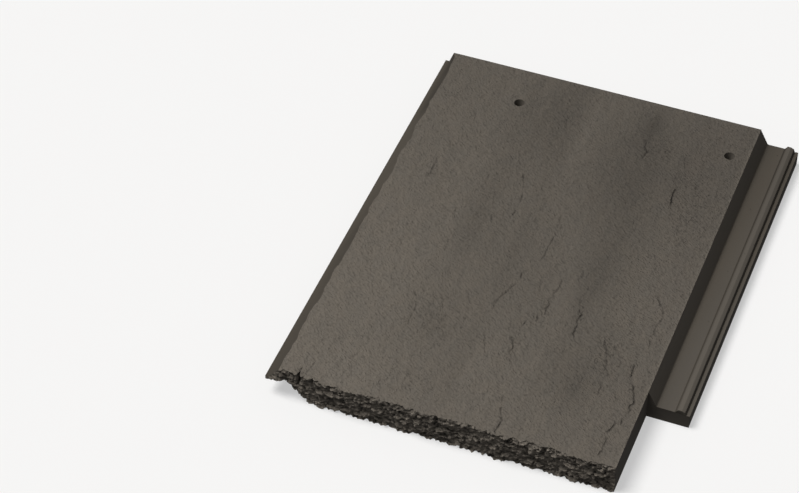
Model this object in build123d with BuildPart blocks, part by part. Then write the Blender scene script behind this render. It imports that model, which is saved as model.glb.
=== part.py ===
"""Interlocking concrete roof tile with a riven slate face, cast in one piece.

Millimetres. X runs across the tile from the overlock to the underlock, +Y points to the head,
+Z is up. The origin is on the underside, in the middle of the tile's length and width.
"""
import os

from build123d import *

# Overall sizes
length = 420.0
width = 330.0
thickness = 29.0

# The two locks stop a little short of the head
lock_head_setback = 2.0

# Underlock, the low rebated edge on the right that the next tile laps over
underlock_setback = 86.5
body_side_run = 7.6
body_side_foot_radius = 1.5
channel_floor_height = 14.0
channel_floor_width = 15.5

# Weather rib and outer lip on the underlock
rib_height = 3.3
rib_near_slope = 2.3
rib_top_width = 3.0
rib_far_slope = 2.7
rib_far_drop = 1.3
groove_wall_run = 1.1
groove_depth = 1.3
groove_floor_width = 0.6
lip_width = 2.4
lip_drop = 0.8

# Overlock, the thin edge on the left that laps over the next tile
overlock_edge_thickness = 3.5
overlock_ledge_width = 3.4
overlock_slope_width = 8.3
overlock_foot_rise_width = 2.0

# Recess under the overlock, with a sloped wall at the nose and a wider cut behind it
recess_roof_width = 5.5
recess_slope_width = 20.5

# Room left between two tiles that are locked together
side_gap = 7.2
foot_clearance = 0.5
foot_side_clearance = 6.4
rib_clearance = 1.2
lip_clearance = 5.0
setback_clearance = 6.5

# Bevel along the top of the head
head_bevel_length = 4.0
head_bevel_drop = 1.5

# Broken nose: how far each point of the edge lies behind the furthest one, at even steps across the body
nose_top_depths = (2.2, 3.2, 1.8, 0.0, 1.4, 1.5, 0.0, 2.9, 0.5, 2.3, 2.1, 1.5, 1.8)
nose_bottom_depths = (2.3, 2.5, 2.1, 1.8, 2.0, 1.2, 2.6, 2.3, 1.3, 2.2, 2.3, 0.8, 2.4)
nose_waste_overhang = 2.0

# Two nail holes near the head, wider at the mouth
nail_hole_radius = 3.0
nail_mouth_radius = 4.7
nail_mouth_depth = 8.0
nail_spacing = 193.0
nail_from_head = 44.7
nail_from_underlock_side = 16.5

# Edges of the tile
left = -width / 2
right = width / 2
head = length / 2
nose = -length / 2

# Underlock, worked out inwards from its outer edge
groove_end = right - lip_width
groove_start = groove_end - groove_floor_width
rib_shoulder = groove_start - groove_wall_run
rib_top_end = rib_shoulder - rib_far_slope
rib_top_start = rib_top_end - rib_top_width
rib_start = rib_top_start - rib_near_slope
channel_start = rib_start - channel_floor_width
body_right = channel_start - body_side_run
rib_top = channel_floor_height + rib_height
rib_shoulder_height = rib_top - rib_far_drop
groove_floor = channel_floor_height - groove_depth
lip_top = channel_floor_height - lip_drop
lock_head = head - lock_head_setback
underlock_length = length - underlock_setback - lock_head_setback

# Distance from one laid tile to the next, side by side
cover_width = body_right + side_gap - left

# Overlock and its recess, placed to clear the underlock of the next tile
overlock_foot_height = channel_floor_height + foot_clearance
overlock_edge_height = overlock_foot_height + overlock_edge_thickness
overlock_top_left = left + overlock_ledge_width + overlock_slope_width
overlock_foot_end = rib_start - cover_width - foot_side_clearance
recess_height = rib_top + rib_clearance
recess_roof_start = overlock_foot_end + overlock_foot_rise_width
recess_roof_end = recess_roof_start + recess_roof_width
recess_slope_end = recess_roof_end + recess_slope_width
recess_rear_end = right - cover_width + lip_clearance
recess_rear_length = length - underlock_setback + setback_clearance

# Nail holes
nail_right_x = body_right - nail_from_underlock_side
nail_left_x = nail_right_x - nail_spacing
nail_y = head - nail_from_head

# Sketch plane at the head, facing the nose, so that an extrusion runs back along the tile
head_plane = Plane.XZ.offset(-head)


def nose_waste_outline(depths):
    """Corners of the area that is broken away in front of the nose edge."""
    step = (body_right - left) / (len(depths) - 1)
    edge = [(left + number * step, nose + depth) for number, depth in enumerate(depths)]
    before = (left - nose_waste_overhang, edge[0][1])
    after = (body_right + nose_waste_overhang, edge[-1][1])
    front = nose - nose_waste_overhang
    return [(before[0], front), before, *edge, after, (after[0], front)]


with BuildPart() as tile:
    # Body and overlock, drawn as one section and run the full length
    with BuildSketch(head_plane):
        with BuildLine():
            Polyline(
                (left, overlock_foot_height),
                (left, overlock_edge_height),
                (left + overlock_ledge_width, overlock_edge_height),
                (overlock_top_left, thickness),
                (body_right, thickness),
                (body_right, 0),
                (recess_slope_end, 0),
                (recess_roof_end, recess_height),
                (recess_roof_start, recess_height),
                (overlock_foot_end, overlock_foot_height),
                close=True,
            )
        make_face()
    extrude(amount=length)

    # Underlock with its channel, weather rib and lip, stopping short of the head and of the nose
    with BuildSketch(Plane.XZ.offset(-lock_head)):
        with BuildLine():
            Polyline(
                (body_right - body_side_run, 0),
                (body_right - body_side_run, thickness),
                (body_right, thickness),
                (channel_start, channel_floor_height),
                (rib_start, channel_floor_height),
                (rib_top_start, rib_top),
                (rib_top_end, rib_top),
                (rib_shoulder, rib_shoulder_height),
                (groove_start, groove_floor),
                (groove_end, lip_top),
                (right, lip_top),
                (right, 0),
                close=True,
            )
        make_face()
    extrude(amount=underlock_length)
    side_foot = tile.edges().filter_by(Axis.Y).sort_by_distance((channel_start, 0, channel_floor_height))[0]
    fillet(side_foot, radius=body_side_foot_radius)

    # Overlock ledge, cut back at the head
    with BuildSketch(Plane.XY):
        with BuildLine():
            Polyline(
                (left, lock_head),
                (left + overlock_ledge_width, lock_head),
                (left + overlock_ledge_width, head),
                (left, head),
                close=True,
            )
        make_face()
    extrude(amount=overlock_edge_height, mode=Mode.SUBTRACT)

    # Wider recess behind the nose, which clears the next tile's underlock
    with BuildSketch(head_plane):
        with BuildLine():
            Polyline(
                (recess_roof_start, 0),
                (recess_roof_start, recess_height),
                (recess_rear_end, recess_height),
                (recess_rear_end, 0),
                close=True,
            )
        make_face()
    extrude(amount=recess_rear_length, mode=Mode.SUBTRACT)

    # Broken nose face, in flat facets between its upper and lower edge
    with BuildSketch(Plane.XY):
        with BuildLine():
            Polyline(*nose_waste_outline(nose_bottom_depths), close=True)
        make_face()
    with BuildSketch(Plane.XY.offset(thickness)):
        with BuildLine():
            Polyline(*nose_waste_outline(nose_top_depths), close=True)
        make_face()
    loft(ruled=True, mode=Mode.SUBTRACT)

    # Bevel along the top of the head
    with BuildSketch(Plane.YZ.offset(left)):
        with BuildLine():
            Polyline(
                (head, thickness),
                (head - head_bevel_length, thickness),
                (head, thickness - head_bevel_drop),
                close=True,
            )
        make_face()
    extrude(amount=width, mode=Mode.SUBTRACT)

    # Nail holes
    with Locations((nail_left_x, nail_y, 0), (nail_right_x, nail_y, 0)):
        Cylinder(
            radius=nail_hole_radius,
            height=thickness,
            align=(Align.CENTER, Align.CENTER, Align.MIN),
            mode=Mode.SUBTRACT,
        )
    with Locations((nail_left_x, nail_y, thickness), (nail_right_x, nail_y, thickness)):
        Cone(
            bottom_radius=nail_hole_radius,
            top_radius=nail_mouth_radius,
            height=nail_mouth_depth,
            align=(Align.CENTER, Align.CENTER, Align.MAX),
            mode=Mode.SUBTRACT,
        )

tile.part.label = "tile"

os.makedirs("parts", exist_ok=True)
export_step(tile.part, "parts/tile.step")
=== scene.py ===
"""Riven-faced interlocking concrete roof tile, finished around its packed CAD frame.

Blender's unit is the metre. X runs across the tile, +Y points to its head and +Z is up.
Sizes that a maker would quote in millimetres are written as a number times MM.
"""
import math
import random

import bmesh
import bpy
import numpy as np
from bpy.props import FloatProperty, FloatVectorProperty, PointerProperty
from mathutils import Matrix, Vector, noise


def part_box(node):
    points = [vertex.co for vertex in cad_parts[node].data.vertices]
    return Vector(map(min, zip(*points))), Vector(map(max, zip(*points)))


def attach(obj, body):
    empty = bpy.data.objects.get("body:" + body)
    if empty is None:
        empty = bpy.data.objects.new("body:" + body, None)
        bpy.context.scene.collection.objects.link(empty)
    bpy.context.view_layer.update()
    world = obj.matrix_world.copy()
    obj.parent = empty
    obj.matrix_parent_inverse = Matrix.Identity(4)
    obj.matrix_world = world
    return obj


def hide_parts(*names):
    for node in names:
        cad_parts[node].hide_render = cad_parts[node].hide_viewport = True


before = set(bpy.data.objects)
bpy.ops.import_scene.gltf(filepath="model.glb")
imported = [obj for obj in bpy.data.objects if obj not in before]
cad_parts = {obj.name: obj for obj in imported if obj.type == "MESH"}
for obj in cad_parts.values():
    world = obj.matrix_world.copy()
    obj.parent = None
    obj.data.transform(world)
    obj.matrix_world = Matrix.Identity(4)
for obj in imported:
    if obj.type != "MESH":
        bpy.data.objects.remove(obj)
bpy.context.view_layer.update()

bl_info = {
    "name": "Riven concrete roof tile",
    "version": (1, 0, 0),
    "blender": (4, 5, 0),
    "location": "View3D > Sidebar > Roof Tile",
    "description": "Makes a riven, nose-broken concrete roof tile around its CAD frame",
    "category": "Add Mesh",
}

MM = 0.001
tile_low, tile_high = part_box("tile")

# Kinds of surface on the tile, in the order of its materials
RIVEN, MOULDED, BROKEN = range(3)

# Everything broken at the nose lies in front of this, in metres
NOSE_BACK = tile_low.y + 8 * MM

# Points nearer to each other than this are joined, in metres
JOIN_DISTANCE = 0.01 * MM

# Where the face ends on the left and on the right, in mm
FACE_LEFT = -153.3
FACE_RIGHT = 129.8

# Cracks and step edges in the riven face: strength, then the points in mm from the head down
CRACKS = (
    (1.1, ((111, -101), (112, -113), (119, -128), (123, -139), (120, -144), (122, -148), (119, -163))),
    (1.1, ((116, -165), (113, -175), (114, -187), (115, -194), (113, -200))),
    (1.0, ((23, -171), (26, -177), (27, -185), (31, -193), (30, -201), (29, -206))),
    (0.5, ((44, -45), (49, -47), (48, -52), (52, -54))),
    (1.1, ((50, -58), (54, -62), (52, -68), (54.5, -75), (54, -84), (55.5, -88))),
    (0.7, (
        (-8, -33), (-6, -41), (-9, -46), (-10, -53), (-13, -63), (-15.5, -68), (-16.5, -76), (-16, -82))),
    (0.7, ((9, -107), (13, -115), (13, -123), (19, -135))),
    (0.8, ((26, -31), (27, -38), (26, -42), (25, -47), (28, -54))),
    (0.9, ((23.5, -56), (25, -61), (24.5, -65), (25.5, -72))),
    (0.8, ((19.5, -74), (22, -78), (21, -82))),
    (0.6, ((14, -84), (13.5, -89), (11, -95))),
    (0.5, ((37, -12), (42, -19), (38, -24), (41, -30))),
    (1.0, ((82, 108), (82, 97), (83, 89), (87, 82), (87, 77))),
    (0.8, ((41, 159), (41, 150), (45, 145), (44, 135))),
    (0.7, ((105, -19), (111, -29), (116, -36), (116, -45), (114, -53), (115, -59), (113, -67), (116, -75))),
    (0.5, ((89, 25), (93, 14), (98, 1))),
    (0.6, ((1, 45), (2, 31), (4, 23), (3, 1), (3, -13))),
    (0.6, ((-46, 79), (-40, 63), (-37, 49), (-37, 32), (-39, 24), (-37, 11))),
    (0.6, ((-129, -190), (-131, -203))),
    (1.2, ((-136.2, -202), (-137, -207.5))),
    (0.9, ((-124.6, -205), (-125, -208.5))),
    (0.5, ((-82, -86), (-76, -101), (-75, -121))),
    (0.7, ((89, -127), (93, -131), (93, -141))),
    (0.5, ((-12, -112), (-9, -123), (-6, -128), (-3, -133))),
    (0.5, ((-129, 77), (-122, 70), (-121, 57), (-122, 45))),
    (0.7, ((79, -79), (84, -90), (88, -104), (91, -112), (95, -121))),
)

# Soft bands in the face that are darker (below 0) or lighter: tone, then centre x, centre y, half width and
# half length in mm
TONE_BANDS = (
    (-0.8, -34, 160, 17, 70),
    (-0.7, -66, 20, 10, 60),
    (-0.4, -45, -60, 28, 130),
    (-0.6, -20, -30, 9, 70),
    (-0.5, -20, -160, 8, 50),
    (-0.5, -54, -118, 18, 13),
    (-1.1, 39, 178, 9, 24),
    (-0.8, 36, 110, 30, 62),
    (-0.7, 52, 20, 24, 80),
    (-0.5, 52, -30, 10, 42),
    (-0.6, 60, -122, 20, 40),
    (-0.3, 73, -140, 8, 14),
    (0.5, -12, 150, 5, 60),
    (0.3, -125, -70, 38, 130),
    (0.4, -8, -150, 12, 34),
    (0.2, 4, -60, 14, 26),
    (0.1, 105, -60, 20, 80),
    (-0.4, 85, 130, 50, 60),
    (-0.3, 100, -120, 30, 60),
    (-0.5, -65, 150, 20, 60),
    (0.5, -100, -190, 25, 22),
    (-0.5, 5, -42, 16, 40),
    (-0.5, 75, -146, 14, 20),
)

# How much the tone of the face falls with each mm to the right and with each mm towards the head: partly
# the face's own tone, partly painted shade for light that falls off across the tile
TONE_AND_SHADE_ACROSS = 0.0030
TONE_AND_SHADE_ALONG = 0.0031

# Patches where the face is rougher (above 0) or smoother: amount, then centre x, centre y, half width and
# half length in mm
ROUGH_PATCHES = (
    (1.0, 87, -100, 11, 30),
    (0.8, 82, 118, 12, 14),
    (0.6, 104, 90, 16, 40),
    (0.4, -122, 62, 12, 18),
    (0.8, -100, -182, 12, 16),
    (0.6, -62, -100, 18, 22),
    (0.7, -50, -180, 14, 12),
    (0.6, 55, 150, 12, 16),
    (0.5, 24, -66, 8, 20),
    (0.5, 12, -118, 8, 20),
    (-0.8, 24, 29, 12, 14),
    (-0.8, 37, -52, 9, 18),
    (-0.6, -45, -50, 16, 22),
    (-0.6, 10, 190, 12, 14),
    (-0.5, 60, 190, 14, 16),
)

# Tone across the underlock, with painted shade in the channel beside the wall and along a thin dark line by
# the rib: place along x in mm, tone
UNDERLOCK_TONES_AND_SHADES = (
    (FACE_RIGHT, -0.6), (136.5, -0.8), (137.5, -2.0), (142, -1.7), (150, -1.3), (152.4, -1.2),
    (152.7, -3.4), (153.0, -3.4), (153.3, -1.0), (155.2, -0.5), (158.2, -0.5), (161, -1.2),
    (162.7, -1.7), (163, -1.4),
)

# Middle of the underlock along the tile, in mm, where its tone is as above
UNDERLOCK_MIDDLE = 42

# Tone of the overlock's ledge and of its slope, mostly painted shade: place along y in mm, tone
LEDGE_TONES_AND_SHADES = ((-207, -2.3), (-150, -2.1), (-60, -1.7), (210, -1.6))
SLOPE_SHADES = (
    (-207, -2.3), (-100, -2.2), (-50, -2.8), (-12, -2.1), (60, -1.8), (112, -1.9), (136, -3.1), (210, -3.4),
)

# How far a place across the overlock takes its tone and painted shade from the slope rather than the ledge:
# place along x in mm, share
SLOPE_SHADE_SHARES = ((-162, 0), (-161.2, 1), (-154.5, 1), (-153.6, 0.7), (-152.6, 0))

# Height of the overlock's underside, and how far its broken end lies above (above 0) or below that: place
# along x in mm, height in mm
OVERLOCK_UNDERSIDE = ((-165, 14.5), (-155.5, 14.5), (-153.5, 18.5), (-148, 18.5), (-127.5, 0), (165, 0))
FOOT_BREAK = ((-165, -0.5), (-160, 0), (-155.5, 1.5), (-153.5, -1.8), (-148, -0.5), (-146, 0))

# How far the hammered grain of the face leans from the length of the tile
GRAIN_LEAN = math.radians(64)

# Part of the face where points are drawn towards the cracks, and part where short random cracks may start,
# in mm: lowest x, highest x, lowest y, highest y
PULL_AREA = (-150, 127, -200, 205)
SMALL_CRACK_AREA = (-145, 122, -190, 195)

# Splits that run down the broken nose from the face, in mm: place along x, depth, half width, length
NOSE_SPLITS = ((-136.2, 7.5, 0.9, 12), (-124.6, 4.5, 0.7, 7), (-18, 1.8, 1.3, 12), (71, 2.0, 1.2, 12))

# Lumps in the broken nose: width and height in mm, and how far they step, as a share of the largest
NOSE_LUMPS = ((9.5, 4.4, 1.0), (5.2, 2.5, 0.6), (3.0, 1.7, 0.35))


class RivenFaceSizes(bpy.types.PropertyGroup):
    """Relief of the slate-like face."""

    column_spacing: FloatProperty(
        name="Column spacing", description="Step of the face's mesh across the tile",
        default=1.25 * MM, unit="LENGTH", subtype="DISTANCE")
    row_spacing: FloatProperty(
        name="Row spacing", description="Step of the face's mesh along the tile",
        default=1.9 * MM, unit="LENGTH", subtype="DISTANCE")
    wave_height: FloatProperty(
        name="Wave height", description="Height of the long waves that run along the face",
        default=0.5 * MM, unit="LENGTH", subtype="DISTANCE")
    ripple_height: FloatProperty(
        name="Ripple height", description="Height of the shorter ripples on the waves",
        default=0.16 * MM, unit="LENGTH", subtype="DISTANCE")
    peel_height: FloatProperty(
        name="Peel height", description="Height of the coarse grain left by the mould",
        default=0.1 * MM, unit="LENGTH", subtype="DISTANCE")
    crack_depth: FloatProperty(
        name="Crack depth", description="Depth of the fine groove along a crack",
        default=0.48 * MM, unit="LENGTH", subtype="DISTANCE")
    crack_drop: FloatProperty(
        name="Crack drop", description="How far the face steps down beside a crack",
        default=0.38 * MM, unit="LENGTH", subtype="DISTANCE")


class BrokenNoseSizes(bpy.types.PropertyGroup):
    """Relief of the broken nose."""

    spacing: FloatProperty(
        name="Spacing", description="Step of the broken face's mesh",
        default=0.65 * MM, unit="LENGTH", subtype="DISTANCE")
    lump_step: FloatProperty(
        name="Lump step", description="How far the largest broken lumps stand in or out",
        default=1.25 * MM, unit="LENGTH", subtype="DISTANCE")
    lump_lean: FloatProperty(
        name="Lump lean", description="How steeply the broken lumps lean back",
        default=math.radians(26), subtype="ANGLE")
    grit_height: FloatProperty(
        name="Grit height", description="Height of the grit on the lumps",
        default=1.1 * MM, unit="LENGTH", subtype="DISTANCE")


class MouldedSizes(bpy.types.PropertyGroup):
    """Worn edges of the moulded sides and locks."""

    edge_wear: FloatProperty(
        name="Edge wear", description="Width of the softened outer edges",
        default=0.7 * MM, unit="LENGTH", subtype="DISTANCE")
    lock_edge_wear: FloatProperty(
        name="Lock edge wear", description="Width of the softened edges of the small lock ribs",
        default=0.25 * MM, unit="LENGTH", subtype="DISTANCE")


class ConcreteColours(bpy.types.PropertyGroup):
    """Colours of the concrete."""

    face: FloatVectorProperty(
        name="Face", description="Slurry coat on the riven face",
        default=(0.1148, 0.1007, 0.0838), subtype="COLOR", size=3)
    face_cool: FloatVectorProperty(
        name="Face, cool", description="Greyer tone that drifts through the face",
        default=(0.1088, 0.0967, 0.0817), subtype="COLOR", size=3)
    moulded: FloatVectorProperty(
        name="Moulded", description="Smooth concrete of the sides, locks and underside",
        default=(0.098, 0.087, 0.073), subtype="COLOR", size=3)
    # Shaded copy of the moulded colour, blended in where the painted shade of the moulded faces is deep
    moulded_shaded: FloatVectorProperty(
        name="Moulded, dark", description="Browner tone of the moulded concrete where it is darker",
        default=(0.1005, 0.0862, 0.0685), subtype="COLOR", size=3)
    broken: FloatVectorProperty(
        name="Broken", description="Fresh concrete inside the broken nose",
        default=(0.229, 0.202, 0.17), subtype="COLOR", size=3)
    grit: FloatVectorProperty(
        name="Grit", description="Pale sand grains in the broken nose",
        default=(0.27, 0.238, 0.2), subtype="COLOR", size=3)


class StageSettings(bpy.types.PropertyGroup):
    """Floor, light and camera."""

    floor: FloatVectorProperty(
        name="Floor", description="Colour of the pale floor",
        default=(0.4, 0.4, 0.4), subtype="COLOR", size=3)
    floor_glow: FloatProperty(
        name="Floor glow", description="Light that comes through the pale floor from below", default=0.48)
    key_strength: FloatProperty(
        name="Key strength", description="Strength of the soft overhead light", default=3.2)
    key_softness: FloatProperty(
        name="Key softness", description="Angle that the overhead light fills in the sky",
        default=math.radians(30), subtype="ANGLE")
    fill_strength: FloatProperty(
        name="Fill strength", description="Strength of the even light from all round", default=0.17)
    surround: FloatProperty(
        name="Surround", description="Brightness of the backdrop behind the floor", default=0.9)
    towards_light: FloatVectorProperty(
        name="Towards the light", description="Direction from the tile to the overhead light",
        default=(-0.38, -0.07, 0.92), subtype="DIRECTION", size=3)
    looks_at: FloatVectorProperty(
        name="Looks at", description="Place that the camera looks at",
        default=(-124.0 * MM, -14.8 * MM, 0), unit="LENGTH", subtype="TRANSLATION", size=3)
    camera_azimuth: FloatProperty(
        name="Camera azimuth", description="Turn of the camera round the tile from its nose",
        default=math.radians(21.136), subtype="ANGLE")
    camera_elevation: FloatProperty(
        name="Camera elevation", description="Height of the camera above the horizon",
        default=math.radians(44.694), subtype="ANGLE")
    camera_distance: FloatProperty(
        name="Camera distance", description="Distance from the camera to what it looks at",
        default=2233 * MM, unit="LENGTH", subtype="DISTANCE")
    camera_lens: FloatProperty(
        name="Camera lens", description="Focal length in millimetres on a 36 mm wide sensor",
        default=117.96)


class Value:
    """A node's output for use in Python expressions, where each operator adds a Math node."""

    def __init__(self, finish, socket):
        self.finish = finish
        self.socket = socket

    def _maths(self, operation, first, second):
        return self.finish.node("ShaderNodeMath", {"operation": operation}, (first, second))

    def __add__(self, other):
        return self._maths("ADD", self, other)

    def __sub__(self, other):
        return self._maths("SUBTRACT", self, other)

    def __rsub__(self, other):
        return self._maths("SUBTRACT", other, self)

    def __mul__(self, other):
        return self._maths("MULTIPLY", self, other)

    def __abs__(self):
        return self._maths("ABSOLUTE", self, 0.0)

    __radd__ = __add__
    __rmul__ = __mul__


class Finish:
    """A material while it is being made."""

    def __init__(self, name):
        self.material = bpy.data.materials.new(name)
        self.material.use_nodes = True
        self.tree = self.material.node_tree
        self.tree.nodes.clear()
        self.place = self.node("ShaderNodeTexCoord", output="Object")

    def node(self, kind, settings=None, sockets=(), output=0):
        """Adds a node: its settings are set first, then the values or links of its sockets."""
        made = self.tree.nodes.new(kind)
        for name, value in (settings or {}).items():
            setattr(made, name, value)
        for key, value in sockets.items() if isinstance(sockets, dict) else enumerate(sockets):
            if isinstance(value, Value):
                self.tree.links.new(value.socket, made.inputs[key])
            else:
                made.inputs[key].default_value = value
        return None if output is None else Value(self, made.outputs[output])

    def mark(self, name):
        """A number stored on the mesh's points."""
        return self.node("ShaderNodeAttribute", {"attribute_name": name}, output="Fac")

    def speckle(self, size, stretch=(1, 1, 1), turn=0.0, detail=2.0, roughness=0.5, distortion=0.0):
        """Cloudy noise from about -0.5 to 0.5, with lumps of the given size, stretched and then turned."""
        scaled = self.node("ShaderNodeMapping", {"vector_type": "TEXTURE"}, {
            "Vector": self.place, "Rotation": (0, 0, turn), "Scale": tuple(size * s for s in stretch)})
        sockets = {"Vector": scaled, "Scale": 1.0, "Detail": detail, "Roughness": roughness,
                   "Distortion": distortion}
        return self.node("ShaderNodeTexNoise", sockets=sockets, output="Fac") - 0.5

    def dots(self, spacing, radius):
        """Scattered dots: 1 inside a dot, 0 outside it."""
        sockets = {0: self.place, "Scale": 1 / spacing}
        scaled = self.node("ShaderNodeVectorMath", {"operation": "SCALE"}, sockets)
        sockets = {"Vector": scaled, "Scale": 1.0}
        distance = self.node("ShaderNodeTexVoronoi", sockets=sockets, output="Distance")
        return self.ramp(distance, radius / spacing, 0.5 * radius / spacing)

    def ramp(self, value, zero_at, one_at):
        """A smooth step from 0 to 1 between two values."""
        if zero_at < one_at:
            sockets = {"From Min": zero_at, "From Max": one_at, "To Min": 0.0, "To Max": 1.0}
        else:
            sockets = {"From Min": one_at, "From Max": zero_at, "To Min": 1.0, "To Max": 0.0}
        sockets["Value"] = value
        return self.node("ShaderNodeMapRange", {"interpolation_type": "SMOOTHSTEP"}, sockets)

    def blend(self, first, second, amount):
        """Mixes two plain colours."""
        sockets = {0: amount, 6: (*first, 1.0), 7: (*second, 1.0)}
        return self.node("ShaderNodeMix", {"data_type": "RGBA"}, sockets, output=2)

    def shade(self, colour, brightness):
        """Scales a colour."""
        return self.node("ShaderNodeVectorMath", {"operation": "SCALE"}, {0: colour, "Scale": brightness})

    def concrete(self, colour, roughness, height):
        """Ends the material as matt concrete with a relief, whose height is in millimetres."""
        bump = self.node("ShaderNodeBump", sockets={"Strength": 1.0, "Distance": MM, "Height": height})
        sockets = {"Base Color": colour, "Roughness": roughness, "Normal": bump, "Specular IOR Level": 0.25}
        shader = self.node("ShaderNodeBsdfPrincipled", sockets=sockets)
        self.node("ShaderNodeOutputMaterial", sockets={"Surface": shader}, output=None)
        return self.material


def riven_concrete(colours):
    """Slurry coat on the riven face: leaning grain, pits, creases, soft bands of tone, a painted fall of
    light across the face, and cracks with painted shade in their grooves.
    """
    f = Finish("riven_concrete")
    crumble = f.mark("crumble")
    wobble = f.speckle(2.4 * MM, detail=1.0) * 1.6
    crack = f.ramp(abs(f.mark("crack_offset") + wobble), 0.9, 0.25) * f.mark("crack_strength")
    peel = f.speckle(1.8 * MM, stretch=(1, 2, 1), turn=GRAIN_LEAN, roughness=0.6, distortion=0.4)
    dents = f.speckle(5.5 * MM, stretch=(1, 1.6, 1), turn=GRAIN_LEAN, detail=1.0)
    folds = f.speckle(3.4 * MM, stretch=(1, 1.3, 1), turn=GRAIN_LEAN, detail=1.5, distortion=0.6)
    broken_up = f.ramp(f.speckle(4.5 * MM, detail=1.0), -0.02, 0.12)
    crease = f.ramp(abs(folds), 0.09, 0.0) * broken_up
    grain = f.speckle(1.2 * MM, stretch=(1, 2.2, 1), turn=GRAIN_LEAN, detail=1.5)
    pits = f.ramp(peel + grain * 0.3, -0.11, -0.26)
    streaks = f.speckle(10 * MM, stretch=(1, 11, 1), detail=3.0)
    hue = f.ramp(f.speckle(8 * MM, stretch=(1, 2, 1), detail=3.0), -0.15, 0.15)
    colour = f.blend(colours.face, colours.face_cool, hue)
    brightness = (
        # The edge mark paints worn edges lighter, along the head edge also as a painted highlight
        1.0 + f.mark("tone") * 0.2 + f.mark("edge_wear") * 0.2 + streaks * 0.15 + peel * 0.26 + grain * 0.3
        # Cracks are painted darker, as the shade in their grooves; pits and creases are drawn a little
        # darker too
        - crack * 0.38 - pits * (crumble * 0.08 + 0.02) - crease * (crumble * 0.08 + 0.02)
    )
    height = (
        peel * (crumble * 0.8 + 1.65) + dents * (crumble * 0.6 + 1.2) + grain * 0.95
        - crack * 0.4 - pits * (crumble * 0.15 + 0.05) - crease * (crumble * 0.35 + 0.1)
    )
    return f.concrete(f.shade(colour, brightness), peel * 0.1 + 0.92, height)


def moulded_concrete(colours):
    """Smooth concrete from the mould: fine pores, a faint cloudy tone, and a tone from the mesh that is
    mostly painted shade.
    """
    f = Finish("moulded_concrete")
    pores = f.dots(9 * MM, 0.5 * MM)
    cloud = f.speckle(40 * MM, stretch=(1, 3, 1), detail=3.0)
    sand = f.speckle(0.9 * MM, detail=1.0)
    tone = f.mark("tone")
    # Where the painted shade is deep, the colour turns to its browner shaded copy
    colour = f.blend(colours.moulded, colours.moulded_shaded, f.ramp(tone, -1.0, -2.0))
    brightness = 1.0 + tone * 0.2 + cloud * 0.16 + sand * 0.12 - pores * 0.3
    height = sand * 0.06 - pores * 0.25 + cloud * 0.1
    return f.concrete(f.shade(colour, brightness), sand * 0.15 + 0.86, height)


def broken_concrete(colours):
    """Broken concrete: pale grit in a dark, rough paste, with painted shade in its crevices and on the
    lumps that face up.
    """
    f = Finish("broken_concrete")
    # Painted shade in the crevices of the broken nose
    crevice_shade = f.mark("crevice_shade")
    # Painted shade on the broken lumps, the darker the more they face up
    upward_shade = f.mark("upward_shade")
    coarse = f.speckle(3.0 * MM, stretch=(1.5, 1, 1), detail=3.0, roughness=0.6)
    grains = f.speckle(0.9 * MM, detail=1.5, roughness=0.6)
    pale = f.ramp(grains + coarse * 0.6, 0.06, 0.28)
    colour = f.blend(colours.broken, colours.grit, pale * 0.4)
    brightness = 1.0 + coarse * 0.35 + grains * 0.5 - crevice_shade * 0.55 - upward_shade * 0.3
    height = coarse * 0.6 + grains * 0.45
    return f.concrete(f.shade(colour, brightness), grains * 0.05 + 0.95, height)


def pale_floor(stage):
    """Plain matt floor, lit a little from below so that its shadows stay pale."""
    f = Finish("pale_floor")
    sockets = {"Base Color": (*stage.floor, 1.0), "Roughness": 0.9, "Specular IOR Level": 0.0,
               "Emission Color": (1.0, 1.0, 1.0, 1.0), "Emission Strength": stage.floor_glow}
    shader = f.node("ShaderNodeBsdfPrincipled", sockets=sockets)
    f.node("ShaderNodeOutputMaterial", sockets={"Surface": shader}, output=None)
    return f.material


def pale_backdrop(stage):
    """Even pale surround behind the floor."""
    f = Finish("pale_backdrop")
    glow = f.node("ShaderNodeEmission", sockets={"Color": (1.0, 1.0, 1.0, 1.0), "Strength": stage.surround})
    f.node("ShaderNodeOutputMaterial", sockets={"Surface": glow}, output=None)
    return f.material


def merged_frame_mesh():
    """The CAD tile's mesh, with its flat sides joined into whole faces and each marked with its kind."""
    bm = bmesh.new()
    bm.from_mesh(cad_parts["tile"].data)
    bmesh.ops.remove_doubles(bm, verts=bm.verts, dist=0.001 * MM)
    bmesh.ops.dissolve_limit(bm, angle_limit=math.radians(0.4), verts=bm.verts, edges=bm.edges)
    for face in bm.faces:
        centre = face.calc_center_median()
        if face.normal.y < -0.7 and centre.y < NOSE_BACK:
            face.material_index = BROKEN
        elif face.normal.z > 0.9 and centre.z > tile_high.z - 2 * MM:
            face.material_index = RIVEN
        else:
            face.material_index = MOULDED
    return bm


def wear_edges(bm, sizes):
    """Softens the moulded edges: the outer ones first, then the small ones of the lock ribs."""
    lock_start = tile_high.x - 13 * MM
    for width, on_lock in ((sizes.edge_wear, False), (sizes.lock_edge_wear, True)):
        chosen = []
        for edge in bm.edges:
            middle = (edge.verts[0].co + edge.verts[1].co) / 2
            long_enough = edge.calc_length() > 5 * MM
            square = edge.calc_face_angle(0) > math.radians(20)
            in_lock = middle.x > lock_start and middle.z > 12 * MM
            if long_enough and square and in_lock == on_lock and middle.y > NOSE_BACK:
                chosen.append(edge)
        bmesh.ops.bevel(
            bm, geom=chosen, offset=width, offset_type="OFFSET", segments=2, profile=0.5,
            affect="EDGES", clamp_overlap=True, material=-1)
    bmesh.ops.remove_doubles(bm, verts=bm.verts, dist=JOIN_DISTANCE)


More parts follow.
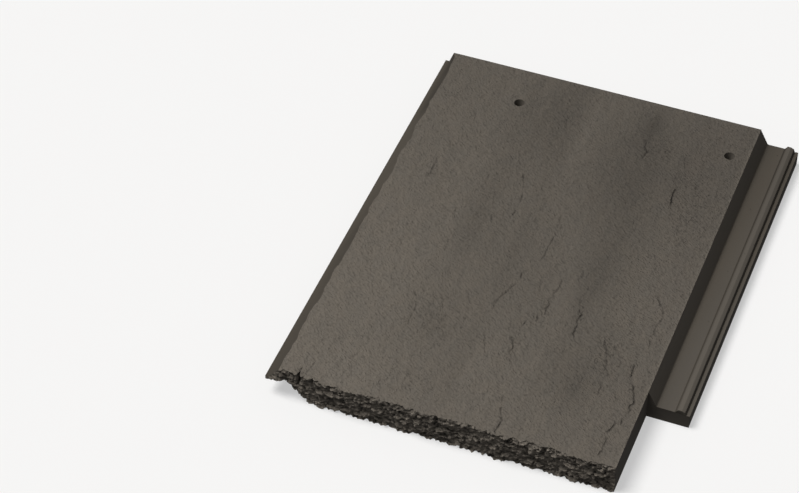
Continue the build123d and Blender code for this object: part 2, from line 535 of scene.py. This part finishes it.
def cut_in_steps(bm, kind, axis, steps):
    """Cuts the faces of one kind by planes square to an axis, from the lowest step up."""
    normal = Vector((0, 0, 0))
    normal[axis] = 1
    ahead = [face for face in bm.faces if face.material_index == kind]
    for step in steps:
        edges = dict.fromkeys(edge for face in ahead for edge in face.edges)
        verts = dict.fromkeys(vert for face in ahead for vert in face.verts)
        cut = bmesh.ops.bisect_plane(
            bm, geom=[*verts, *edges, *ahead], dist=0.04 * MM, plane_co=normal * step, plane_no=normal)
        pieces = (part for part in cut["geom"] if isinstance(part, bmesh.types.BMFace))
        ahead = [face for face in pieces if max(vert.co[axis] for vert in face.verts) > step + 0.05 * MM]


def divide(bm, face_sizes, nose_sizes):
    """Divides the riven and the broken faces finely enough to carry their relief."""
    across = np.arange(tile_low.x + 1 * MM, tile_high.x, face_sizes.column_spacing)

    # Rows of the riven face, closer together just behind the nose
    near_nose = np.arange(tile_low.y + 0.6 * MM, tile_low.y + 11 * MM, 0.95 * MM)
    along = np.arange(near_nose[-1] + 1.4 * MM, tile_high.y, face_sizes.row_spacing)

    fine_across = np.arange(tile_low.x + 0.5 * MM, tile_high.x, nose_sizes.spacing)
    fine_up = np.arange(0.4 * MM, tile_high.z, nose_sizes.spacing)

    # Rows, heights and lines across the moulded faces, between which their tone and shape can change
    moulded_rows = np.arange(tile_low.y + 12 * MM, tile_high.y - 1 * MM, 4 * MM)
    moulded_heights = np.array((1.5, 12.0, 16.5, 27.3)) * MM
    channel_lines = np.array((142.0, 152.2)) * MM

    cut_in_steps(bm, RIVEN, 0, across)
    cut_in_steps(bm, BROKEN, 0, fine_across)
    cut_in_steps(bm, MOULDED, 0, channel_lines)
    cut_in_steps(bm, MOULDED, 2, moulded_heights)
    cut_in_steps(bm, MOULDED, 1, moulded_rows)
    cut_in_steps(bm, BROKEN, 2, fine_up)
    cut_in_steps(bm, RIVEN, 1, [*near_nose, *along])
    bmesh.ops.remove_doubles(bm, verts=bm.verts, dist=JOIN_DISTANCE)


def lumps(points, size, seed):
    """Smooth noise from -1 to 1 at each point, with lumps of the given size across, along and up."""
    shift = np.array((17.3, 5.1, 9.7)) * seed
    return np.array([noise.noise(Vector(p)) for p in points / np.array(size) + shift])


def soft_spots(x, y, spots):
    """Sum of soft-edged ellipses, each given as amount, centre x and y, half width and half length."""
    total = np.zeros_like(x)
    for amount, centre_x, centre_y, half_width, half_length in spots:
        total += amount * np.exp(-((x - centre_x) / half_width) ** 2 - ((y - centre_y) / half_length) ** 2)
    return total


def drift_along(y, size, seed):
    """A random number, mostly from -0.5 to 0.5, that changes smoothly along the tile."""
    steps = np.arange(tile_low.y / MM - 1, tile_high.y / MM + 2, size / 4)
    return np.interp(y, steps, [noise.noise(Vector((step / size, 7.7 * seed, 0))) for step in steps])


def small_cracks(count, seed):
    """Short random cracks that fill in between the main ones, in the same form."""
    dice = random.Random(seed)
    left, right, front, back = SMALL_CRACK_AREA
    cracks = []
    for _ in range(count):
        x = dice.uniform(left, right)
        y = dice.uniform(front, back)
        points = [(x, y)]
        for _ in range(dice.randint(1, 3)):
            x += dice.uniform(-1.0, 2.5)
            y -= dice.uniform(3, 6)
            points.append((x, y))
        cracks.append((dice.uniform(0.15, 0.5), tuple(points)))
    return cracks


def crack_field(x, y, sizes):
    """For each point of the face: how far it lies beside the nearest crack, that crack's strength, and how
    far in mm the cracks lower it."""
    offset = np.full_like(x, 50.0)
    strength = np.zeros_like(x)
    sink = np.zeros_like(x)
    for number, (force, points) in enumerate((*CRACKS, *small_cracks(count=70, seed=7))):
        xs, ys = np.array(points[::-1], float).T
        steps = np.linspace(ys[0] - 3, ys[-1] + 3, 60)
        path = np.interp(steps, ys, xs) + 1.3 * drift_along(steps, 5, seed=number)
        line = np.interp(y, steps, path)
        lean = np.interp(y, steps, np.gradient(path, steps))
        beside = (x - line) / np.sqrt(1 + lean ** 2)
        inside = np.clip(np.minimum(y - ys[0], ys[-1] - y) / 2.5 + 0.8, 0, 1)
        here = force * inside * np.clip(0.8 + 1.7 * drift_along(y, 7, seed=number + 0.3), 0.1, 1.0)
        groove = np.exp(-(beside / 0.8) ** 2) * sizes.crack_depth
        fading = np.where(beside > 0, np.exp(-beside / 9), np.exp(np.minimum(beside, 0) / 0.5))
        sink += here * (groove + fading * sizes.crack_drop) / MM
        nearer = (here > 0) & (np.abs(beside) < np.abs(offset))
        offset[nearer] = beside[nearer]
        strength[nearer] = here[nearer]
    return offset, strength, sink


def pull_to_cracks(x, offset, strength):
    """Moves points across the face so that they lie closer together beside a crack."""
    pull = 0.6 * np.clip(strength * 2, 0, 1) * np.exp(-(offset / 3.0) ** 2)
    return x - offset * pull


def riven_relief(points, crumble, sizes):
    """Height in mm that the riven face adds at each point."""
    x, y, _ = points.T
    flat = points * (1, 1, 0)
    wave = lumps(flat, (34, 150, 1), seed=1) + 0.5 * lumps(flat, (17, 60, 1), seed=2)
    ripple = lumps(flat, (9, 15, 1), seed=3)
    cos, sin = math.cos(GRAIN_LEAN), math.sin(GRAIN_LEAN)
    leaning = np.stack((x * cos + y * sin, y * cos - x * sin, np.zeros_like(x)), 1)
    peel = lumps(leaning, (4.0, 6.5, 1), seed=4)
    crumbs = crumble * np.abs(lumps(leaning, (3.4, 5.0, 1), seed=5))
    crumb_depth = 0.38
    mean_sink = 0.2

    # The waves die down towards the sides of the face
    side = np.minimum(x - FACE_LEFT, FACE_RIGHT - x)
    calm = np.clip(0.3 + 0.7 * side / 8, 0.3, 1)
    return (
        calm * (wave * sizes.wave_height + ripple * sizes.ripple_height) / MM
        + peel * sizes.peel_height / MM * (1 + crumble)
        - crumb_depth * crumbs
        - mean_sink
    )


def broken_relief(points, sizes):
    """How far in mm each point of the broken nose lies back from its flat facets, and how deep in a crevice
    it lies, for the painted shade there.
    """
    x, _, z = points.T
    flat = points * (1, 0, 1)

    # Layers of leaning lumps, each with a crevice round it
    bend = np.stack((lumps(flat, (5, 1, 4), seed=21), np.zeros_like(x), lumps(flat, (5, 1, 4), seed=22)), 1)
    lean_back = math.tan(sizes.lump_lean)
    back = np.zeros_like(x)
    crevice = np.zeros_like(x)
    for layer, (wide, tall, share) in enumerate(NOSE_LUMPS):
        for index, p in enumerate((flat + bend * 1.3) / (wide, 1, tall)):
            place = Vector((p[0], 7.3 * layer, p[2]))
            near, cells = noise.voronoi(place)
            dice = noise.cell_vector(cells[0] * 5.17)
            aside, _, above = place - cells[0]
            inside = min((near[1] - near[0]) / 0.26, 1.0)
            facet = share * sizes.lump_step / MM * 2 * (dice.x - 0.5)
            facet += above * tall * lean_back * (0.2 + 1.6 * dice.y) * (0.2 + 0.3 * share)
            facet += aside * wide * (dice.z - 0.5) * 0.45
            back[index] += facet * inside + 0.5 * share * (1 - inside)
            crevice[index] += share * (1 - inside) ** 2

    # Splits that wander a little on their way down from the face
    from_face = tile_high.z / MM - z
    split = np.zeros_like(x)
    for place, depth, half_width, length in NOSE_SPLITS:
        wander = 0.5 * np.sin(z * 0.5 + place)
        reach = np.clip(0.7 + from_face / 10, 0, 1) * np.clip(2 * (1 - from_face / length), 0, 1)
        split += depth * np.exp(-((x - place - wander) / half_width) ** 2) * reach

    # Grit, which stands out most along the upper and the lower edge, and a ragged lower edge
    grit = lumps(flat, (3.4, 1, 2.0), seed=11) + 0.6 * lumps(flat, (1.8, 1, 1.2), seed=12)
    rim = 1 + 0.9 * np.exp(-z / 1.5) + 0.5 * np.exp(-from_face / 1.5)
    foot = 1.3 * lumps(flat, (7, 1, 9), seed=13) * np.exp(-z / 3)

    # The relief is held back at both ends of the nose, and lies on the facets on average
    mean_depth = 0.35
    corner = np.clip(0.3 + np.minimum(x - tile_low.x / MM, FACE_RIGHT - x) / 5, 0, 1)
    back *= corner
    depth = back + (grit * rim * sizes.grit_height / MM + foot - mean_depth) * corner + split
    return np.maximum(depth, -2.5), np.clip(crevice + split * 0.25, 0, 1.5)


def moulded_tone_and_shade(x, y, z):
    """Tone of the moulded locks, mostly painted shade: dark on the overlock's slope, darker in the channel
    than on its rib.
    """
    share = np.interp(x, *zip(*SLOPE_SHADE_SHARES))
    overlock = np.interp(y, *zip(*SLOPE_SHADES)) * share + np.interp(y, *zip(*LEDGE_TONES_AND_SHADES)) * (1 - share)
    underlock = np.interp(x, *zip(*UNDERLOCK_TONES_AND_SHADES)) - (y - UNDERLOCK_MIDDLE) * TONE_AND_SHADE_ALONG
    tone = np.where(x < FACE_LEFT + 1, overlock, np.where(x > FACE_RIGHT - 1, underlock, 0))
    return tone * (z > 11)


def shift_overlock(x, y, z):
    """How far in mm each point moves left, as the overlock's slope wavers and steepens towards the head."""
    waver = 2.2 * drift_along(y, 16, seed=41) + 1.2 * drift_along(y, 7, seed=42)
    near_head = np.clip((y - tile_high.y / MM + 6.5) / 6, 0, 1) ** 1.5
    up_the_slope = np.clip((z - 18) / 9, 0, 1)
    near_left = np.clip((FACE_LEFT + 10 - x) / 10, 0, 1)
    return (3.1 * near_head + waver) * up_the_slope * near_left


def break_foot(x, y, z):
    """How far in mm each point rises where the overlock's foot and recess are broken at the nose."""
    above = z - np.interp(x, *zip(*OVERLOCK_UNDERSIDE))
    at_nose = np.clip(1.3 - (y - tile_low.y / MM) / 10, 0, 1)
    return np.interp(x, *zip(*FOOT_BREAK)) * at_nose * np.clip(1 - above / 5, 0, 1)


def behind_nose(bm, x, y, broken):
    """How far in mm each point lies behind the upper edge of the nose, or 0 on the broken nose itself."""
    edge = sorted((vert.co.x / MM, vert.co.y / MM) for vert, is_broken in zip(bm.verts, broken)
                  if is_broken and vert.co.z > tile_high.z - JOIN_DISTANCE)
    edge_x, edge_y = np.array(edge).T
    return np.where(broken, 0, np.maximum(y - np.interp(x, edge_x, edge_y), 0))


def shape_surface(bm, face_sizes, nose_sizes):
    """Gives the divided tile its relief, and returns the numbers that its materials read."""
    bm.verts.ensure_lookup_table()
    points = np.array([vert.co for vert in bm.verts]) / MM
    x, y, z = points.T.copy()
    kinds = [{face.material_index for face in vert.link_faces} for vert in bm.verts]
    broken = np.array([BROKEN in kind for kind in kinds])
    riven = np.array([RIVEN in kind for kind in kinds])

    # Cracks in the face, the roughness round them, and the closer points beside them
    offset, strength, sink = crack_field(x, y, face_sizes)
    near_face = np.clip((z - tile_high.z / MM + 9) / 9, 0, 1)
    on_face = near_face > 0.5
    strength = np.where(on_face, strength, 0.0)
    beside_crack = 0.5 * strength * np.exp(-(offset / 5) ** 2)
    rough = np.clip(0.35 + soft_spots(x, y, ROUGH_PATCHES) + beside_crack, 0, 1.3)
    crumble = np.where(on_face, rough, 0.0)
    left, right, front, back = PULL_AREA
    inner = on_face & (x > left) & (x < right) & (y > front) & (y < back)
    new_x = np.where(inner, pull_to_cracks(x, offset, strength), x)
    offset_now = offset + (new_x - x)

    # Relief of the face, which fades out down the sides
    face_points = points.copy()
    face_points[:, 0] = new_x
    chosen = np.flatnonzero(near_face > 0)
    lift = np.zeros_like(z)
    lift[chosen] = riven_relief(face_points[chosen], crumble[chosen], face_sizes) - sink[chosen]

    # Relief of the broken nose, which fades out behind its edges
    behind = behind_nose(bm, x, y, broken)
    nose_points = np.flatnonzero(broken | (behind < 14))
    depth = np.zeros_like(z)
    crevice_shade = np.zeros_like(z)
    depth[nose_points], crevice_shade[nose_points] = broken_relief(points[nose_points], nose_sizes)
    fade = np.exp(-(behind / (2.0 + 1.6 * np.abs(depth))) ** 1.5)

    x = new_x - shift_overlock(x, y, z)
    y = y + depth * fade
    z = z + lift * near_face + break_foot(x, y, z)
    for vert, place in zip(bm.verts, np.stack((x, y, z), 1) * MM):
        vert.co = place
    bm.normal_update()
    upward = np.array([vert.normal.z for vert in bm.verts])

    # The face's tone: its soft bands, with a fall towards the head and the right that is partly painted
    # shade; on the moulded faces the tone is mostly painted shade
    face_tone_and_shade = soft_spots(x, y, TONE_BANDS) - x * TONE_AND_SHADE_ACROSS - y * TONE_AND_SHADE_ALONG
    tone = np.where(riven, face_tone_and_shade, moulded_tone_and_shade(x, y, z))
    # Lighter edges: worn along the right edge; along the head edge also a painted highlight on the bevel
    right_edge = np.exp(-((FACE_RIGHT - x) / 1.5) ** 2)
    head_edge_wear_and_highlight = np.exp(-((tile_high.y / MM - y) / 3.0) ** 2)
    return {
        "crack_offset": offset_now,
        "crack_strength": strength * np.clip((3.4 - np.abs(offset_now)) / 1.6, 0, 1),
        "crumble": crumble,
        "tone": tone,
        # Painted shade in the broken nose's crevices
        "crevice_shade": crevice_shade,
        # Painted shade on the broken lumps that face up
        "upward_shade": np.clip((upward - 0.25) / 0.5, 0, 1) * broken,
        "edge_wear": np.clip(right_edge + head_edge_wear_and_highlight, 0, 1) * on_face,
    }


def finish_mesh(bm, marks, materials):
    """Turns the shaped tile into a mesh with crisp edges between its kinds of surface."""
    for face in bm.faces:
        face.smooth = True

    # Moulded faces keep crisp edges, and rough ones stay smooth over steeper steps
    for edge in bm.edges:
        kinds = {face.material_index for face in edge.link_faces}
        limit = math.radians(60 if MOULDED not in kinds else 18)
        edge.smooth = len(kinds) == 1 and edge.calc_face_angle(0) < limit
    mesh = bpy.data.meshes.new("concrete_tile")
    bm.to_mesh(mesh)
    bm.free()
    for name, values in marks.items():
        mesh.attributes.new(name, "FLOAT", "POINT").data.foreach_set("value", values.astype(np.float32))
    for material in materials:
        mesh.materials.append(material)
    return mesh


class ROOFTILE_OT_make_tile(bpy.types.Operator):
    """Makes the tile, cast in one piece, over the CAD node that it replaces"""

    bl_idname = "rooftile.make_tile"
    bl_label = "Make tile"

    def execute(self, context):
        settings = context.scene
        bm = merged_frame_mesh()
        wear_edges(bm, settings.tile_moulded)
        divide(bm, settings.tile_face, settings.tile_nose)
        marks = shape_surface(bm, settings.tile_face, settings.tile_nose)
        colours = settings.tile_colours
        materials = (riven_concrete(colours), moulded_concrete(colours), broken_concrete(colours))
        mesh = finish_mesh(bm, marks, materials)
        tile = bpy.data.objects.new("concrete_tile", mesh)
        context.collection.objects.link(tile)
        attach(tile, "root")
        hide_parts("tile")
        return {"FINISHED"}


class ROOFTILE_OT_make_stage(bpy.types.Operator):
    """Makes the pale floor, the soft light and the camera"""

    bl_idname = "rooftile.make_stage"
    bl_label = "Make stage"

    def execute(self, context):
        stage = context.scene.tile_stage
        self.make_floor(context, stage)
        self.make_backdrop(context, stage)
        self.make_light(context, stage)
        self.make_camera(context, stage)
        context.scene.view_settings.view_transform = "Standard"
        return {"FINISHED"}

    def make_floor(self, context, stage):
        half = 6.0
        corners = [(-half, -half, 0), (half, -half, 0), (half, half, 0), (-half, half, 0)]
        mesh = bpy.data.meshes.new("floor")
        mesh.from_pydata(corners, [], [(0, 1, 2, 3)])
        mesh.materials.append(pale_floor(stage))
        floor = bpy.data.objects.new("floor", mesh)
        floor.visible_diffuse = False
        floor.visible_glossy = False
        context.collection.objects.link(floor)

    def make_backdrop(self, context, stage):
        bm = bmesh.new()
        bmesh.ops.create_icosphere(bm, subdivisions=4, radius=20.0)
        mesh = bpy.data.meshes.new("backdrop")
        bm.to_mesh(mesh)
        bm.free()
        mesh.materials.append(pale_backdrop(stage))
        backdrop = bpy.data.objects.new("backdrop", mesh)
        backdrop.visible_diffuse = False
        backdrop.visible_glossy = False
        backdrop.visible_shadow = False
        context.collection.objects.link(backdrop)

    def make_light(self, context, stage):
        lamp = bpy.data.lights.new("overhead", "SUN")
        lamp.energy = stage.key_strength
        lamp.angle = stage.key_softness
        lamp.color = (1.0, 0.985, 0.965)
        light = bpy.data.objects.new("overhead", lamp)
        light.rotation_euler = Vector(stage.towards_light).to_track_quat("Z", "Y").to_euler()
        context.collection.objects.link(light)
        world = bpy.data.worlds.new("studio")
        world.use_nodes = True
        world.node_tree.nodes["Background"].inputs["Color"].default_value = (1, 1, 1, 1)
        world.node_tree.nodes["Background"].inputs["Strength"].default_value = stage.fill_strength
        context.scene.world = world

    def make_camera(self, context, stage):
        data = bpy.data.cameras.new("camera")
        data.lens = stage.camera_lens
        data.sensor_width = 36.0
        camera = bpy.data.objects.new("camera", data)
        azimuth, elevation = stage.camera_azimuth, stage.camera_elevation
        back = Vector((
            math.sin(azimuth) * math.cos(elevation), -math.cos(azimuth) * math.cos(elevation),
            math.sin(elevation)))
        camera.location = Vector(stage.looks_at) + back * stage.camera_distance
        camera.rotation_euler = back.to_track_quat("Z", "Y").to_euler()
        context.collection.objects.link(camera)
        context.scene.camera = camera


class ROOFTILE_PT_panel(bpy.types.Panel):
    """Lists the tile's operators and settings"""

    bl_label = "Roof Tile"
    bl_idname = "ROOFTILE_PT_panel"
    bl_space_type = "VIEW_3D"
    bl_region_type = "UI"
    bl_category = "Roof Tile"

    def draw(self, context):
        for operator in OPERATORS:
            self.layout.operator(operator.bl_idname)
        for name, group in GROUPS.items():
            box = self.layout.box()
            box.label(text=group.__doc__)
            for setting in group.__annotations__:
                box.prop(getattr(context.scene, name), setting)


GROUPS = {
    "tile_face": RivenFaceSizes,
    "tile_nose": BrokenNoseSizes,
    "tile_moulded": MouldedSizes,
    "tile_colours": ConcreteColours,
    "tile_stage": StageSettings,
}
OPERATORS = (ROOFTILE_OT_make_tile, ROOFTILE_OT_make_stage)


def register():
    for kind in (*GROUPS.values(), *OPERATORS, ROOFTILE_PT_panel):
        bpy.utils.register_class(kind)
    for name, group in GROUPS.items():
        setattr(bpy.types.Scene, name, PointerProperty(type=group))


def unregister():
    for name in GROUPS:
        delattr(bpy.types.Scene, name)
    for kind in (ROOFTILE_PT_panel, *OPERATORS, *GROUPS.values()):
        bpy.utils.unregister_class(kind)


def main():
    register()
    bpy.ops.rooftile.make_tile()
    bpy.ops.rooftile.make_stage()


if __name__ == "__main__":
    main()
